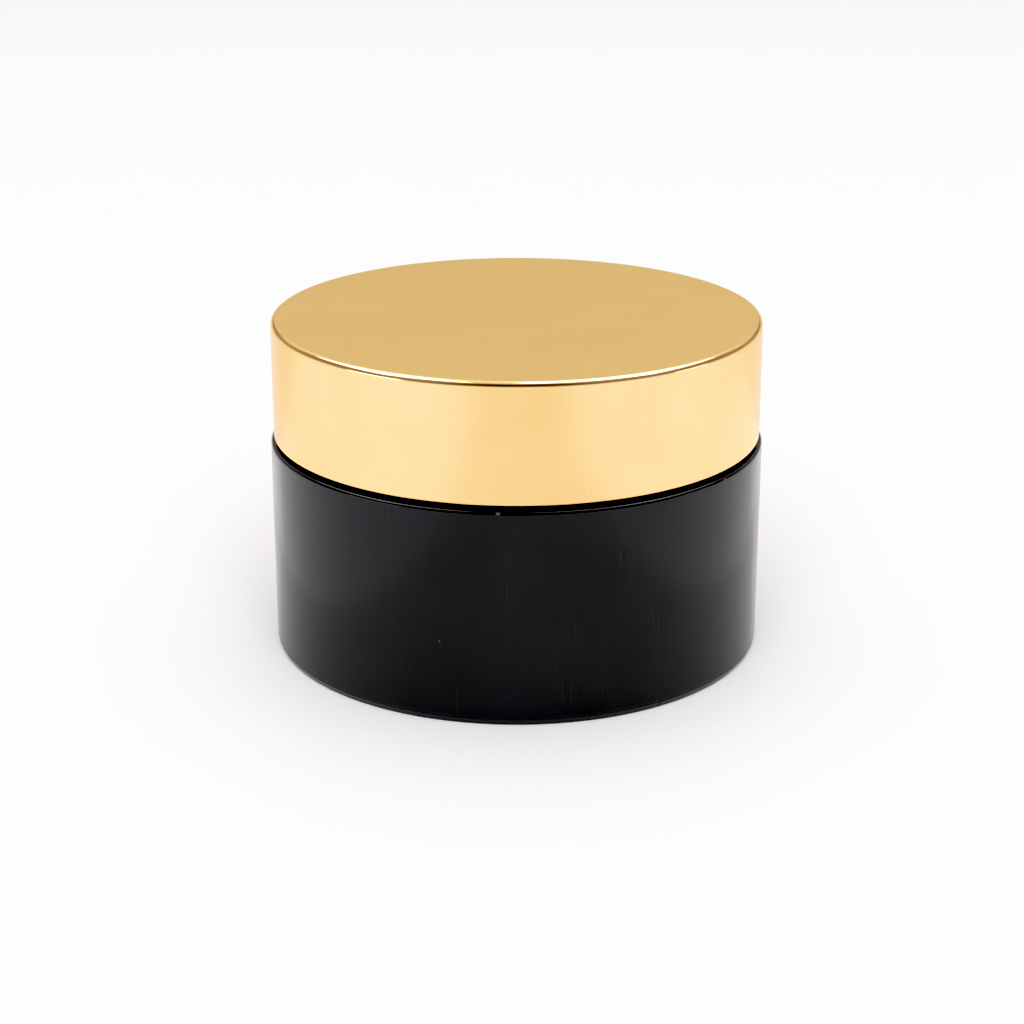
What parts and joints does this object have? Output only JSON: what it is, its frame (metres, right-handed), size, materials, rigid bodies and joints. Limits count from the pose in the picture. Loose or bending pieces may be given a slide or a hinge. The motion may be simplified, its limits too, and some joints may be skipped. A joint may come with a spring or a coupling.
{
  "type": "cosmetic cream jar",
  "caption": "Low round double-wall cream jar with a smooth straight body, a threaded inner cup, a lift-out sealing disc and a metal-shelled screw lid.",
  "frame": {"origin": "centre of the foot, on the surface that the jar stands on", "axes": "+Z is the jar's axis, up out of the mouth; +X and +Y are level, and either can face front"},
  "size_m": [0.066, 0.066, 0.0448],
  "materials": {
    "black_jar": "black ABS, moulded, polished gloss with fine handling scratches",
    "white_cup": "white polypropylene, moulded, soft gloss",
    "natural_disc": "natural polyethylene, moulded, waxy and slightly cloudy",
    "foam_liner": "expanded polyethylene foam, die cut, fine closed cells",
    "black_insert": "black polypropylene, moulded, fine spark texture",
    "gold_shell": "drawn aluminium, bright gold anodised, satin top and polished side"
  },
  "bodies": {
    "jar": {"outer_jar": "black_jar", "inner_cup": "white_cup"},
    "disc": {"sealing_disc": "natural_disc"},
    "liner": {"lid_liner": "foam_liner"},
    "lid": {"lid_insert": "black_insert", "lid_shell": "gold_shell"}
  },
  "joints": [
    {"name": "lid_turn", "type": "hinge", "parent": "liner", "child": "lid", "pos_m": [0, 0, 0.029], "axis": [0, 0, 1], "range_deg": [0, 1080]},
    {"name": "lid_rise", "type": "slide", "parent": "jar", "child": "liner", "axis": [0, 0, 1], "range_m": [0, 0.021]},
    {"name": "disc_lift", "type": "slide", "parent": "jar", "child": "disc", "axis": [0, 0, 1], "range_m": [0, 0.00735]}
  ],
  "couplings": [
    {"joint": "lid_rise", "follows": "lid_turn", "m_per_rad": 0.0011141},
    {"joint": "disc_lift", "follows": "lid_turn", "m_per_rad": 0.0003899}
  ]
}
